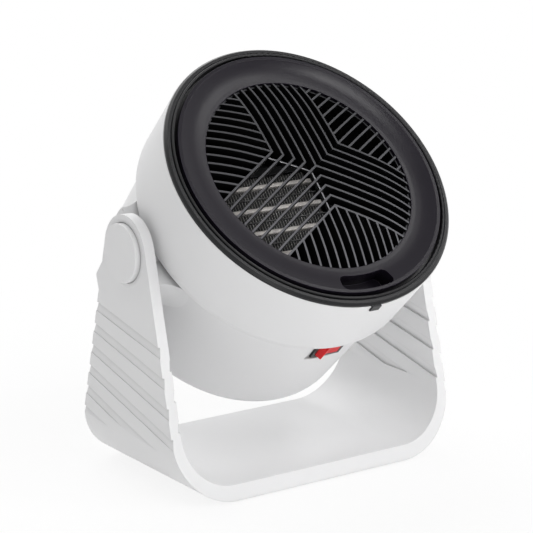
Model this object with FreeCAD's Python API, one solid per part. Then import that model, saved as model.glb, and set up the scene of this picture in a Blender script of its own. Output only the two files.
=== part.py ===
import FreeCAD, Part
import math
import os

# Desk fan heater: a round tilting head in a U-shaped yoke stand.
# Millimetres. +Z is up, the front is -Y, the origin is on the floor under the pivot axis.
# Head pieces are drawn in the head's own frame: the pivot axis is X, the air leaves along +Z.

# Fits
running_gap = 0.3
fit_gap = 0.05

# Head housing, measured from the pivot axis along the head's own axis
head_tilt = 45.0
mouth_radius = 92.5
mouth_height = 58.7
band_taper = 1.1
band_rear = 5.5
band_edge_round = 10.0
mouth_edge_round = 0.5
housing_wall = 2.4
band_return = 19.4
drum_step = 7.3
drum_taper = 3.2
drum_rear = -71.0
drum_edge_round = 9.0

# Yoke stand
side_gap = 2.7
swing_gap = 23.8
arm_thickness = 6.8
arm_top_radius = 22.5
base_thickness = 9.2
base_depth = 118.4
outer_corner_radius = 40.0
inner_corner_radius = 32.0
base_wall = 2.8
base_rib = 2.0
knuckle_below_pivot = 19.2
knuckle_length = 18.0
knuckle_proud = 5.0
knuckle_round = 2.0

# Saw-tooth grooves across the arms
groove_count = 6
groove_depth = 1.3
groove_ledge = 0.4
groove_width = 5.8
groove_back_drop = 36.1
groove_back_pitch = 13.8
groove_front_drop = 49.0
groove_front_pitch = 17.3
groove_inner_shift = 8.0

# Feet
foot_radius = 7.0
foot_proud = 1.0
foot_seat = 1.6
foot_boss_wall = 2.2
foot_inset_x = 14.0
foot_inset_y = 17.0

# Pivot hardware
bolt_radius = 5.0
bolt_length = 24.0
bolt_head_radius = 9.0
bolt_head_height = 2.4
bolt_slot_half = 0.8
cap_radius = 17.6
cap_proud = 3.5
cap_recess = 4.2
cap_skirt_wall = 1.4
cap_edge_round = 0.6
boss_radius = 13.0
inner_boss_radius = 9.0
inner_boss_depth = 13.0
shoulder_radius = 28.0
shoulder_bend = 10.0
shoulder_blend = 18.0
shoulder_spread = 22.0
shoulder_sink = 18.0
washer_radius = 12.0
washer_thickness = 0.8

# Bezel ring
bezel_inset = 0.5
bezel_flange = 1.3
bezel_chamfer = 1.3
bezel_flat = 1.8
bezel_step_depth = 1.0
bezel_step_width = 0.7
bezel_bead_width = 1.8
bezel_bead_rise = 0.9
bezel_bead_round = 0.8
bezel_skirt_depth = 6.7
bezel_skirt_wall = 2.4
bezel_ledge_width = 4.2
bezel_ledge_thickness = 1.8
bezel_ledge_drop = 1.2
tab_width = 6.4
tab_depth = 3.8
tab_proud = 0.7

# Front dish and its finger recess
dish_groove = 1.8
dish_width = 18.0
dish_lip_rise = 4.1
dish_rim_rise = 1.6
dish_thickness = 2.2
dish_skirt_wall = 2.0
dish_sag = 0.7
dish_lip_flat = 2.1
dish_curve = 60.0
recess_inner_margin = 5.4
recess_outer_margin = 1.9
recess_half_angle = 13.2
recess_corner = 3.8
recess_depth = 11.0
recess_wall = 1.4

# Front grille
grille_rise = 9.3
dome_crown_share = 0.3
dome_crown_slope = 5.4
dome_crown_round_share = 5.4
dome_shoulder_share = 0.796
dome_rim_slope = 19.8
dome_shoulder_round_share = 1.56
fin_thickness = 1.2
fin_depth = 7.5
fin_pitch = 6.0
fins_beside_centre = 4
wedge_fins_beside_centre = 6
rim_wall = 2.2
rim_depth = 7.0

# Heating block
strip_length_share = 1.322
strip_thickness = 3.0
strip_pitch_share = 0.205
strip_count = 4
strip_depth = 18.0
block_front = 12.6
plate_thickness = 0.8
fold_pitch = 4.0
fold_sheet = 0.4
fold_setback = 1.0
frame_wall = 3.4
frame_lip = 1.4
frame_lip_thickness = 0.9
frame_rear_lip = 2.0
tab_blade_length = 11.0
tab_blade_width = 6.3
tab_blade_thickness = 0.8

# Bulkhead, fan ring and outlet duct
shroud_thickness = 2.0
fan_ring_inset = 17.0
fan_ring_wall = 2.0
fan_ring_depth = 26.0
duct_wall = 1.6
duct_flare = 7.6
duct_flange = 2.0
duct_cone_start = 6.0

# Screws
screw_radius = 1.5
screw_head_radius = 3.0
screw_head_height = 2.2
screw_length = 14.0
screw_boss_radius = 4.0
screw_head_round = 0.8
screw_inset = 7.7
shroud_screw_angle = 45.0
housing_screw_angle = 22.0
housing_boss_length = 9.0

# Fan and motor
impeller_tip_gap = 4.0
hub_radius = 14.0
hub_length = 18.0
hub_nose_round = 3.0
blade_count = 7
blade_thickness = 1.6
blade_root_chord = 15.0
blade_tip_chord = 30.0
blade_root_pitch = 42.0
blade_tip_pitch = 24.0
impeller_gap = 5.0
shaft_radius = 2.5
shaft_nose = 3.0
motor_radius = 21.0
motor_length = 28.0
motor_wall = 1.5
motor_seat = 2.6
motor_seat_radius = 23.0
motor_screw_circle = 14.0
motor_screw_count = 3
bush_radius = 5.0
bush_length = 5.0
rotor_radius = 10.0
rotor_length = 14.0
stator_length = 16.0
air_gap = 0.6

# Rear air inlet
inlet_edge = 14.0
inlet_slot_length = 19.0
inlet_row_gap = 4.0
inlet_inner_count = 20
inlet_outer_count = 36
inlet_slot_width = 3.8
cord_inset = 22.0
cord_bore_radius = 3.8
cord_neck_radius = 5.5
cord_flange_radius = 7.5
cord_flange = 1.6
cord_clear_angle = 14.0

# Rocker switch
switch_length = 21.0
switch_width = 15.0
switch_flange = 1.6
switch_case_length = 19.2
switch_case_width = 12.8
switch_case_depth = 12.0
switch_behind_pivot = 2.7
switch_right = 4.0
switch_wall = 0.95
pocket_margin_length = 4.0
pocket_margin_width = 1.2
pocket_depth = 2.6
rocker_peak = 3.6
rocker_peak_setback = 2.0
rocker_level = 0.4
rocker_saddle_round = 6.0
rocker_peak_round = 0.5
rocker_pivot_depth = 2.5
rocker_belly = 5.0
rocker_pin_radius = 1.2
terminal_length = 8.0
terminal_width = 4.8
terminal_thickness = 0.8

# Safety devices
cutout_radius = 7.0
cutout_height = 8.0
cutout_flange_length = 22.0
cutout_flange_width = 9.0
cutout_flange_thickness = 1.2
cutout_clear = 3.2
fuse_radius = 2.0
fuse_length = 14.0
fuse_lead_radius = 0.5
fuse_lead_length = 6.0
fuse_clear = 7.7

# Worked out from the sizes above
band_rear_radius = mouth_radius - band_taper
drum_front_radius = mouth_radius - drum_step
drum_rear_radius = drum_front_radius - drum_taper
arm_inside = mouth_radius + side_gap
arm_outside = arm_inside + arm_thickness
head_swing = math.hypot(mouth_radius, mouth_height)
pivot_height = foot_proud + base_thickness + swing_gap + head_swing
band_inner_front = mouth_radius - housing_wall
band_inner_rear = band_rear_radius - housing_wall
band_floor = band_rear + housing_wall
rear_face_inside = drum_rear + housing_wall
bezel_top = mouth_height + bezel_flange + bezel_chamfer
bezel_bead_top = bezel_top + bezel_bead_rise
bezel_radius = mouth_radius - bezel_inset
bezel_inner_radius = bezel_radius - bezel_chamfer - bezel_flat - bezel_step_width - bezel_bead_width
ledge_top = mouth_height - bezel_ledge_drop
dish_radius = bezel_inner_radius - dish_groove
grille_radius = dish_radius - dish_width
recess_inner_radius = grille_radius + recess_inner_margin
recess_outer_radius = dish_radius - recess_outer_margin
dish_lip = mouth_height + dish_lip_rise
dish_rim = mouth_height + dish_rim_rise
recess_floor = (dish_lip + dish_rim) / 2 - dish_sag - recess_depth
grille_seat = dish_rim - dish_thickness
rim_bottom = grille_seat - rim_depth
duct_rear_radius = grille_radius - duct_flare
strip_length = strip_length_share * duct_rear_radius
strip_pitch = strip_pitch_share * strip_length
block_rear = block_front - strip_depth
shroud_front = block_rear - frame_rear_lip
shroud_rear = shroud_front - shroud_thickness
fan_ring_radius = drum_rear_radius - fan_ring_inset
impeller_radius = fan_ring_radius - impeller_tip_gap
screw_circle = drum_front_radius - screw_inset
fan_ring_end = shroud_rear - fan_ring_depth
impeller_front = shroud_rear - impeller_gap
impeller_rear = impeller_front - hub_length
motor_rear = rear_face_inside + motor_seat
motor_front = motor_rear + motor_length
cap_inner_face = arm_outside - cap_recess + running_gap + bolt_head_height + running_gap
bolt_seat = arm_outside - cap_recess + running_gap
boss_face = arm_inside - running_gap - washer_thickness
switch_face = drum_front_radius - pocket_depth
inlet_outer_end = drum_rear_radius - inlet_edge
inlet_outer_start = inlet_outer_end - inlet_slot_length
inlet_inner_start = motor_seat_radius + inlet_row_gap
inlet_inner_end = inlet_outer_start - inlet_row_gap
cord_place = drum_rear_radius - cord_inset


def vec(x, y, z):
    """A point or direction."""
    return FreeCAD.Vector(x, y, z)


ORIGIN = vec(0, 0, 0)
X_AXIS = vec(1, 0, 0)
Y_AXIS = vec(0, 1, 0)
Z_AXIS = vec(0, 0, 1)


def on_xz(u, v):
    """Place a drawing in the plane of X and Z."""
    return vec(u, 0, v)


def on_yz(u, v):
    """Place a drawing in the plane of Y and Z."""
    return vec(0, u, v)


def on_xy(u, v):
    """Place a drawing in the plane of X and Y."""
    return vec(u, v, 0)


def outline(corners, place):
    """Closed wire through corners (u, v) or (u, v, radius); a radius rounds its corner."""
    points = [vec(corner[0], corner[1], 0) for corner in corners]
    arrive, leave, middle = [], [], []
    for index, corner in enumerate(corners):
        here = points[index]
        radius = corner[2] if len(corner) > 2 else 0
        back = (points[index - 1] - here).normalize()
        ahead = (points[(index + 1) % len(points)] - here).normalize()
        if radius == 0:
            arrive.append(here)
            leave.append(here)
            middle.append(None)
            continue
        half = back.getAngle(ahead) / 2
        arrive.append(here + back * (radius / math.tan(half)))
        leave.append(here + ahead * (radius / math.tan(half)))
        bisector = (back + ahead).normalize()
        middle.append(here + bisector * (radius / math.sin(half) - radius))
    edges = []
    for index in range(len(points)):
        if middle[index] is not None:
            arc_points = [arrive[index], middle[index], leave[index]]
            edges.append(Part.Arc(*[place(p.x, p.y) for p in arc_points]).toShape())
        start = leave[index]
        end = arrive[(index + 1) % len(points)]
        if start.distanceToPoint(end) > 1e-6:
            edges.append(Part.LineSegment(place(start.x, start.y), place(end.x, end.y)).toShape())
    return Part.Wire(edges)


def prism(corners, place, along):
    """Solid made by pushing an outline along a direction."""
    return Part.Face(outline(corners, place)).extrude(along)


def turned(corners):
    """Solid of revolution about Z from corners given as (radius, height)."""
    return Part.Face(outline(corners, on_xz)).revolve(ORIGIN, Z_AXIS, 360)


def rod(radius, start, end):
    """Round bar along Z between two heights."""
    return Part.makeCylinder(radius, end - start, vec(0, 0, start))


def tube(inner, outer, start, end):
    """Round tube along Z."""
    return rod(outer, start, end).cut(rod(inner, start, end))


def cross_rod(radius, start, end):
    """Round bar along X between two places."""
    return Part.makeCylinder(radius, end - start, vec(start, 0, 0), X_AXIS)


def block(low, high):
    """Box between two opposite corners."""
    return Part.makeBox(high[0] - low[0], high[1] - low[1], high[2] - low[2], vec(*low))


def about_z(shape, angle):
    """Copy turned about Z."""
    copy = shape.copy()
    copy.rotate(ORIGIN, Z_AXIS, angle)
    return copy


def mirrored(shape):
    """Copy on the other side of the middle plane."""
    return shape.mirror(ORIGIN, X_AXIS)


def both_sides(shape):
    """A piece and its twin on the other side."""
    return [shape, mirrored(shape)]


def moved(shape, x, y, z):
    """Copy shifted by a vector."""
    copy = shape.copy()
    copy.translate(vec(x, y, z))
    return copy


def on_circle(radius, angle):
    """X and Y of a place on a circle."""
    return radius * math.cos(math.radians(angle)), radius * math.sin(math.radians(angle))


def corner_angles(angle):
    """The same angle taken into all four quarters."""
    return [angle, 180 - angle, 180 + angle, 360 - angle]


def on_head(shape):
    """Place a head piece at the rest tilt on the pivot."""
    copy = shape.copy()
    copy.rotate(ORIGIN, X_AXIS, 90 - head_tilt)
    copy.translate(vec(0, 0, pivot_height))
    return copy


def save(name, *solids):
    """Write one node, as one solid or as a group of separate solids."""
    shape = solids[0] if len(solids) == 1 else Part.makeCompound(list(solids))
    shape.exportStep("parts/" + name + ".step")


def save_on_head(name, *solids):
    """Write one node of the head."""
    save(name, *[on_head(solid) for solid in solids])


def drum_radius_at(height):
    """Outer radius of the tapered drum at a height on the head's axis."""
    share = (band_rear - height) / (band_rear - drum_rear)
    return drum_front_radius + (drum_rear_radius - drum_front_radius) * share


def tangent_point(corner, centre, radius, side):
    """Where a line from a corner touches a circle, on the side +1 or -1."""
    reach = corner - centre
    spread = math.acos(radius / reach.Length)
    angle = math.atan2(reach.y, reach.x) + side * spread
    return centre + vec(radius * math.cos(angle), radius * math.sin(angle), 0)


def arm_profile():
    """Side view of the yoke: a trapezium that runs up to a round top at the pivot."""
    centre = vec(0, pivot_height, 0)
    front = vec(-base_depth / 2, foot_proud, 0)
    back = vec(base_depth / 2, foot_proud, 0)
    front_touch = tangent_point(front, centre, arm_top_radius, -1)
    back_touch = tangent_point(back, centre, arm_top_radius, 1)
    top = centre + vec(0, arm_top_radius, 0)
    ends = [on_yz(p.x, p.y) for p in (front, front_touch, top, back_touch, back)]
    edges = [
        Part.LineSegment(ends[0], ends[1]).toShape(),
        Part.Arc(ends[1], ends[2], ends[3]).toShape(),
        Part.LineSegment(ends[3], ends[4]).toShape(),
        Part.LineSegment(ends[4], ends[0]).toShape(),
    ]
    return Part.Face(Part.Wire(edges)).extrude(X_AXIS * (2 * arm_outside))


def arm_edge_at(height):
    """How far the arm's back edge lies behind the pivot at a height."""
    centre = vec(0, pivot_height, 0)
    foot = vec(base_depth / 2, foot_proud, 0)
    touch = tangent_point(foot, centre, arm_top_radius, 1)
    share = (height - foot.y) / (touch.y - foot.y)
    return foot.x + (touch.x - foot.x) * share


def knuckle():
    """Small rounded nose on the back edge of each arm, below the pivot."""
    peak = pivot_height - knuckle_below_pivot
    low = peak - knuckle_length / 2
    high = peak + knuckle_length / 2
    corners = [
        (0, low),
        (arm_edge_at(low), low),
        (arm_edge_at(peak) + knuckle_proud, peak, knuckle_round),
        (arm_edge_at(high), high),
        (0, high),
    ]
    return prism(corners, on_yz, X_AXIS * (2 * arm_outside))


def groove(index, face, inward, shift, depths):
    """One saw-tooth groove: a wall at each of its edges, as deep as given, and a ramp between them."""
    back = vec(0, base_depth, pivot_height - groove_back_drop - index * groove_back_pitch - shift)
    front = vec(0, -base_depth, pivot_height - groove_front_drop - index * groove_front_pitch - shift)
    back_edge = arm_edge_at(back.z)
    front_edge = -arm_edge_at(front.z)
    rise = (back.z - front.z) / (back_edge - front_edge)
    run = vec(0, 1, rise).normalize()
    down = vec(0, rise, -1).normalize()
    start = vec(face, front_edge, front.z) - run * base_depth
    into = X_AXIS * inward
    section = [
        start - into,
        start + into * depths[0],
        start + down * groove_width + into * depths[1],
        start + down * groove_width - into,
    ]
    wire = Part.makePolygon(section + [section[0]])
    return Part.Face(wire).extrude(run * (3 * base_depth))


def arm_grooves():
    """Grooves of one arm: deep at the top on its outer face, deep at the bottom on its inner face."""
    straight = foot_proud + base_thickness + inner_corner_radius
    keep = block((0, -base_depth, straight), (2 * arm_outside, base_depth, pivot_height))
    cuts = []
    for index in range(groove_count):
        cuts.append(groove(index, arm_outside, -1, 0, (groove_depth, groove_ledge)))
        inner = groove(index, arm_inside, 1, groove_inner_shift, (groove_ledge, groove_depth)).common(keep)
        if inner.Volume > 1:
            cuts.append(inner)
    return cuts


def foot_places():
    """Centres of the four feet."""
    x = arm_outside - outer_corner_radius - foot_inset_x + foot_boss_wall
    y = base_depth / 2 - foot_inset_y
    return [(sx * x, sy * y) for sx in (-1, 1) for sy in (-1, 1)]


def yoke_stand():
    """Base plate and two arms in one moulding, hollow and ribbed under the base."""
    floor = foot_proud
    top = pivot_height + arm_top_radius + 1
    inside_floor = floor + base_thickness
    u_shape = [
        (-arm_outside, top),
        (-arm_outside, floor, outer_corner_radius),
        (arm_outside, floor, outer_corner_radius),
        (arm_outside, top),
        (arm_inside, top),
        (arm_inside, inside_floor, inner_corner_radius),
        (-arm_inside, inside_floor, inner_corner_radius),
        (-arm_inside, top),
    ]
    ribbon = moved(prism(u_shape, on_xz, Y_AXIS * (2 * base_depth)), 0, -base_depth, 0)
    side = moved(arm_profile().fuse(knuckle()), -arm_outside, 0, 0)
    yoke = ribbon.common(side)
    for cut in arm_grooves():
        yoke = yoke.cut(cut).cut(mirrored(cut))
    for sign in (-1, 1):
        bore = cross_rod(bolt_radius + fit_gap, -arm_outside - 1, arm_outside + 1)
        recess = cross_rod(cap_radius + running_gap, arm_outside - cap_recess, arm_outside + 1)
        cuts = bore.fuse(recess)
        cuts = cuts if sign > 0 else mirrored(cuts)
        yoke = yoke.cut(moved(cuts, 0, 0, pivot_height))
    return hollow_base(yoke)


def hollow_base(yoke):
    """Open pocket under the base with a cross of ribs and a boss for each foot."""
    half_x = arm_outside - outer_corner_radius - base_wall
    half_y = base_depth / 2 - 2 * base_wall
    roof = foot_proud + base_thickness - base_wall
    pocket = block((-half_x, -half_y, 0), (half_x, half_y, roof))
    ribs = [
        block((-half_x, -base_rib / 2, 0), (half_x, base_rib / 2, roof)),
        block((-base_rib / 2, -half_y, 0), (base_rib / 2, half_y, roof)),
    ]
    for x, y in foot_places():
        ribs.append(moved(rod(foot_radius + foot_boss_wall, 0, roof), x, y, 0))
    for rib in ribs:
        pocket = pocket.cut(rib)
    yoke = yoke.cut(pocket)
    for x, y in foot_places():
        yoke = yoke.cut(moved(rod(foot_radius + fit_gap, 0, foot_proud + foot_seat), x, y, 0))
    return yoke.removeSplitter()


def rubber_feet():
    """Four round pads with a turned-in lower edge."""
    top = foot_proud + foot_seat
    lip = foot_proud / 2
    pad = turned([(0, 0), (foot_radius - lip, 0), (foot_radius, lip), (foot_radius, top), (0, top)])
    return [moved(pad, x, y, 0) for x, y in foot_places()]


def front_housing():
    """White band: a short tapered tube, rounded and turned in at its rear, notched for the snap tab."""
    inner_radius = band_rear_radius - band_return
    band = turned([
        (mouth_radius, mouth_height, mouth_edge_round),
        (band_rear_radius, band_rear, band_edge_round),
        (inner_radius, band_rear),
        (inner_radius, band_floor),
        (band_inner_rear, band_floor, band_edge_round - housing_wall),
        (band_inner_front, mouth_height),
    ])
    for piece in both_sides(pivot_boss(running_gap)):
        band = band.cut(piece)
    notch_half = tab_width / 2 + running_gap
    notch_floor = mouth_height - tab_depth - running_gap
    band = band.cut(block((-notch_half, -mouth_radius - 1, notch_floor),
                          (notch_half, -band_inner_rear + 2, mouth_height + 1)))
    for angle in corner_angles(housing_screw_angle):
        x, y = on_circle(screw_circle, angle)
        band = band.cut(moved(rod(screw_radius + fit_gap, band_rear - 1, band_floor + 1), x, y, 0))
    return band


def pivot_shoulder():
    """Bell-shaped shoulder behind the band that carries the drum out to the arm."""
    bend = boss_face - shoulder_bend
    deep = bend - shoulder_sink
    bell = Part.Face(outline([
        (boss_face, 0),
        (boss_face, shoulder_radius),
        (bend, shoulder_radius, shoulder_blend),
        (deep, shoulder_radius + shoulder_spread),
        (deep, 0),
    ], on_xy)).revolve(ORIGIN, X_AXIS, 360)
    reach = 2 * mouth_radius
    behind_band = block((0, -reach, -reach), (reach, reach, band_rear))
    return bell.common(behind_band)


def pivot_boss(clearance):
    """Round boss on the side of the drum that carries the pivot bolt."""
    start = drum_front_radius - housing_wall - inner_boss_depth
    return cross_rod(boss_radius + clearance, drum_front_radius - housing_wall, boss_face).fuse(
        cross_rod(inner_boss_radius + clearance, start, drum_front_radius))


def inlet_slot(start, end):
    """Straight air slot with round ends, drawn along X through the rear wall."""
    half = inlet_slot_width / 2
    corners = [(start, -half, half), (end, -half, half), (end, half, half), (start, half, half)]
    slot = prism(corners, on_xy, Z_AXIS * (3 * housing_wall))
    return moved(slot, 0, 0, drum_rear - housing_wall)


def inlet_slots():
    """Two rings of air slots, left out where the cord inlet sits."""
    slots = []
    for count, start, end in ((inlet_inner_count, inlet_inner_start, inlet_inner_end),
                              (inlet_outer_count, inlet_outer_start, inlet_outer_end)):
        for index in range(count):
            angle = 90 + 360 * index / count
            beside_cord = abs(angle % 360 - 270) < cord_clear_angle
            if start == inlet_outer_start and beside_cord:
                continue
            slots.append(about_z(inlet_slot(start, end), angle))
    return slots


def rear_housing():
    """White drum with its rear air inlet, pivot bosses, switch pocket and screw bosses."""
    wall = housing_wall
    drum = turned([
        (drum_front_radius, band_rear),
        (drum_rear_radius, drum_rear, drum_edge_round),
        (0, drum_rear),
        (0, rear_face_inside),
        (drum_rear_radius - wall, rear_face_inside, drum_edge_round - wall),
        (drum_front_radius - wall, band_rear),
    ])
    core = turned([
        (drum_front_radius - wall / 2, band_rear),
        (drum_rear_radius - wall / 2, drum_rear + wall / 2, drum_edge_round - wall / 2),
        (0, drum_rear + wall / 2),
        (0, band_rear),
    ])
    seat = rod(motor_seat_radius, drum_rear + wall / 2, motor_rear)
    added = both_sides(pivot_boss(0)) + both_sides(pivot_shoulder().cut(core))
    added += [seat, switch_pad().common(core)]
    for angle in corner_angles(shroud_screw_angle):
        added.append(wall_boss(angle, shroud_rear - screw_length, shroud_rear, 0).common(core))
    for angle in corner_angles(housing_screw_angle):
        added.append(wall_boss(angle, band_rear - housing_boss_length, band_rear, 0).common(core))
    drum = drum.multiFuse(added)
    cuts = inlet_slots() + both_sides(bolt_hole())
    cuts.append(switch_hole())
    cuts.append(moved(rod(cord_neck_radius + fit_gap, drum_rear - 1, rear_face_inside + 1), 0, -cord_place, 0))
    for angle in corner_angles(shroud_screw_angle):
        x, y = on_circle(screw_circle, angle)
        cuts.append(moved(rod(screw_radius + fit_gap, shroud_rear - screw_length, shroud_rear + 1), x, y, 0))
    for angle in corner_angles(housing_screw_angle):
        x, y = on_circle(screw_circle, angle)
        cuts.append(moved(rod(screw_radius + fit_gap, band_rear - screw_length, band_rear + 1), x, y, 0))
    for x, y in motor_screw_places():
        cuts.append(moved(rod(screw_radius + fit_gap, drum_rear - 1, motor_rear + 1), x, y, 0))
        cuts.append(moved(rod(screw_head_radius + fit_gap, drum_rear - 1, drum_rear + screw_head_height), x, y, 0))
    return drum.cut(Part.makeCompound(cuts)).removeSplitter()


def wall_boss(angle, start, end, clearance):
    """Screw boss that grows out of the drum's wall."""
    near_x, near_y = on_circle(screw_circle, angle)
    far_x, far_y = on_circle(screw_circle + screw_boss_radius, angle)
    boss = rod(screw_boss_radius + clearance, start, end)
    return moved(boss, near_x, near_y, 0).fuse(moved(boss, far_x, far_y, 0))


def bolt_hole():
    """Pilot hole of one pivot bolt in the drum's boss."""
    start = drum_front_radius - housing_wall - inner_boss_depth - 1
    return cross_rod(bolt_radius + fit_gap, start, boss_face + 1)


def at_switch(shape):
    """Move a piece drawn about the switch's middle to its place on the drum."""
    return moved(shape, switch_right, 0, -switch_behind_pivot)


def switch_pad():
    """Thick place in the drum wall that holds the switch, before its pocket is cut."""
    half_length = switch_length / 2 + pocket_margin_length + housing_wall
    half_width = switch_width / 2 + pocket_margin_width + housing_wall
    pad = block((-half_length, -drum_front_radius, -half_width),
                (half_length, -switch_face + housing_wall, half_width))
    return at_switch(pad)


def switch_hole():
    """Flat pocket for the bezel and the opening for the switch case."""
    half_length = switch_length / 2 + pocket_margin_length
    half_width = switch_width / 2 + pocket_margin_width
    pocket = block((-half_length, -drum_front_radius - 1, -half_width),
                   (half_length, -switch_face, half_width))
    case_half_length = switch_case_length / 2 + fit_gap
    case_half_width = switch_case_width / 2 + fit_gap
    opening = block((-case_half_length, -switch_face - 1, -case_half_width),
                    (case_half_length, -switch_face + 3 * housing_wall, case_half_width))
    return at_switch(pocket.fuse(opening))


def pivot_bolt():
    """Shoulder screw that carries one side of the head."""
    shank = cross_rod(bolt_radius, bolt_seat - bolt_length, bolt_seat)
    head = cross_rod(bolt_head_radius, bolt_seat, bolt_seat + bolt_head_height)
    slot = block((bolt_seat + bolt_head_height / 2, -bolt_head_radius, -bolt_slot_half),
                 (bolt_seat + bolt_head_height + 1, bolt_head_radius, bolt_slot_half))
    return shank.fuse(head).cut(slot)


def pivot_cap():
    """Round cap that clips over the bolt head and stands proud of the arm."""
    face = arm_outside + cap_proud
    skirt_end = bolt_seat + fit_gap
    skirt_inner = bolt_head_radius + fit_gap
    skirt_outer = skirt_inner + cap_skirt_wall
    cap = turned([
        (0, cap_inner_face),
        (skirt_inner, cap_inner_face),
        (skirt_inner, skirt_end),
        (skirt_outer, skirt_end),
        (skirt_outer, cap_inner_face),
        (cap_radius, cap_inner_face),
        (cap_radius, face, cap_edge_round),
        (0, face),
    ])
    cap.rotate(ORIGIN, Y_AXIS, 90)
    return cap


def pivot_washer():
    """Friction washer between the boss and the arm."""
    outer = cross_rod(washer_radius, boss_face, boss_face + washer_thickness)
    return outer.cut(cross_rod(bolt_radius + fit_gap, boss_face - 1, boss_face + washer_thickness + 1))


def bezel_ring():
    """Black stepped ring on the mouth: chamfer, step, bead, groove wall, ledge and skirt."""
    bead_outer = bezel_inner_radius + bezel_bead_width
    step_outer = bead_outer + bezel_step_width
    ledge_bottom = ledge_top - bezel_ledge_thickness
    skirt_outer = band_inner_front - 2 * running_gap
    skirt_end = mouth_height - bezel_skirt_depth
    ring = turned([
        (bezel_radius, mouth_height),
        (bezel_radius, mouth_height + bezel_flange),
        (bezel_radius - bezel_chamfer, bezel_top),
        (step_outer, bezel_top),
        (step_outer, bezel_top - bezel_step_depth),
        (bead_outer, bezel_top - bezel_step_depth),
        (bead_outer, bezel_bead_top, bezel_bead_round),
        (bezel_inner_radius, bezel_bead_top, bezel_bead_round),
        (bezel_inner_radius, ledge_top),
        (bezel_inner_radius - bezel_ledge_width, ledge_top),
        (bezel_inner_radius - bezel_ledge_width, ledge_bottom),
        (skirt_outer - bezel_skirt_wall, ledge_bottom),
        (skirt_outer - bezel_skirt_wall, skirt_end),
        (skirt_outer, skirt_end),
        (skirt_outer, mouth_height),
    ])
    tab = block((-tab_width / 2, -mouth_radius - tab_proud, mouth_height - tab_depth),
                (tab_width / 2, -skirt_outer + 1, mouth_height + bezel_flange / 2))
    notch = recess_blank(recess_wall + running_gap, ledge_bottom - 1, ledge_top + 1)
    return ring.cut(notch).fuse(tab).removeSplitter()


def recess_blank(margin, start, end):
    """Arc-shaped bar with rounded corners at the bottom of the dish, grown by a margin all round."""
    inner = recess_inner_radius - margin
    outer = recess_outer_radius + margin
    half_angle = recess_half_angle + math.degrees(margin / recess_outer_radius)
    reach = 2 * outer
    low_x, low_y = on_circle(reach, 270 - half_angle)
    high_x, high_y = on_circle(reach, 270 + half_angle)
    wedge = prism([(0, 0), (low_x, low_y), (high_x, high_y)], on_xy, Z_AXIS * (end - start))
    bar = tube(inner, outer, start, end).common(moved(wedge, 0, 0, start))
    upright = [edge for edge in bar.Edges if edge.BoundBox.ZLength > (end - start) / 2]
    return bar.makeFillet(recess_corner + margin, upright)


def dish_profile(drop):
    """Corners of the dished face from its outer lip to its inner edge, lowered by drop."""
    span = dish_radius - grille_radius
    return [
        (dish_radius, dish_lip - drop),
        (dish_radius - dish_lip_flat, dish_lip - drop),
        (dish_radius - span / 2, (dish_lip + dish_rim) / 2 - dish_sag - drop, dish_curve),
        (grille_radius, dish_rim - drop),
    ]


def front_dish():
    """Black ring that dishes gently towards the grille, with a blind finger recess below it."""
    top = dish_profile(0)
    under = dish_profile(dish_thickness)
    dish = turned(top + under[::-1])
    skirt = tube(dish_radius - dish_skirt_wall, dish_radius, ledge_top, dish_lip - dish_thickness / 2)
    floor = recess_floor
    cup = recess_blank(recess_wall, floor - recess_wall, dish_rim)
    below_face = turned(dish_profile(dish_thickness / 2) + [(grille_radius, floor - 2 * recess_wall),
                                                           (dish_radius, floor - 2 * recess_wall)])
    hollow = recess_blank(0, floor, dish_lip + 1)
    return dish.multiFuse([skirt, cup.common(below_face)]).cut(hollow).removeSplitter()


def dome(height, radius):
    """Solid under the grille's cap: flat at its middle, then a gentle slope that rolls down to the rim."""
    crown = dome_crown_share * grille_radius
    shoulder = dome_shoulder_share * grille_radius
    shoulder_height = height - (shoulder - crown) * math.tan(math.radians(dome_crown_slope))
    edge_height = shoulder_height - (radius - shoulder) * math.tan(math.radians(dome_rim_slope))
    under = edge_height - 2 * fin_depth
    return turned([
        (0, height),
        (crown, height, dome_crown_round_share * grille_radius),
        (shoulder, shoulder_height, dome_shoulder_round_share * grille_radius),
        (radius, edge_height),
        (radius, under),
        (0, under),
    ])


def chevron_fins(length, start, end):
    """Parallel fins along +X, cut to a third of the circle so that neighbours meet in mitres."""
    reach = 2 * length
    third_x, third_y = on_circle(reach, 60)
    third = prism([(0, 0), (third_x, -third_y), (reach, -third_y), (reach, third_y), (third_x, third_y)],
                  on_xy, Z_AXIS * (end - start))
    third = moved(third, 0, 0, start)
    fins = []
    for index in range(-fins_beside_centre, fins_beside_centre + 1):
        offset = index * fin_pitch
        bar = block((-fin_pitch, offset - fin_thickness / 2, start),
                    (length, offset + fin_thickness / 2, end))
        fins.append(bar.common(third))
    return fins


def wedge_fins(length, start, end):
    """Parallel fins along +X between two arms of chevrons, each starting on the last chevron."""
    apex = fins_beside_centre * fin_pitch / math.sin(math.radians(60))
    fins = []
    for index in range(-wedge_fins_beside_centre, wedge_fins_beside_centre + 1):
        offset = index * fin_pitch
        begin = apex + abs(offset) / math.tan(math.radians(60))
        if begin < length:
            fins.append(block((begin, offset - fin_thickness / 2, start),
                              (length, offset + fin_thickness / 2, end)))
    return fins


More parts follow.
